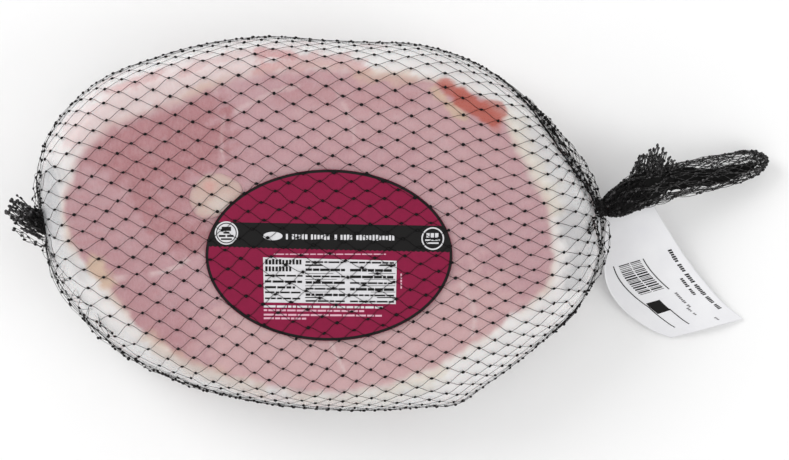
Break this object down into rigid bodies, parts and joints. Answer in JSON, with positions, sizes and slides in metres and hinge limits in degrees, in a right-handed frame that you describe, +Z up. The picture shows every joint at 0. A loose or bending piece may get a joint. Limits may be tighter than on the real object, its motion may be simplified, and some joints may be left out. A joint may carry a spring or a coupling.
{
  "type": "netted bone-in ham steak",
  "caption": "Thick bone-in ham steak, cut face up, sealed in clear film inside a knotted carry net with a rope handle, an oval label and a hanging paper tag.",
  "frame": {"origin": "the middle of the flat face that the steak rests on", "axes": "+X runs along the steak to the net's handle, +Y across it, +Z up to the upper cut face"},
  "size_m": [0.364, 0.1803, 0.0707],
  "materials": {
    "meat": "moist cured meat with a rim of white fat, under clear film",
    "bone": "sawn bone, matt and slightly porous",
    "film": "clear shrink film, glossy",
    "label": "satin printed sticker",
    "net": "black extruded plastic strands",
    "tag": "white coated paper with black print"
  },
  "bodies": {
    "root": {"netted_pack": "meat", "label": "label", "net_handle": "net", "net_tuft": "net", "tag": "tag"}
  },
  "joints": []
}
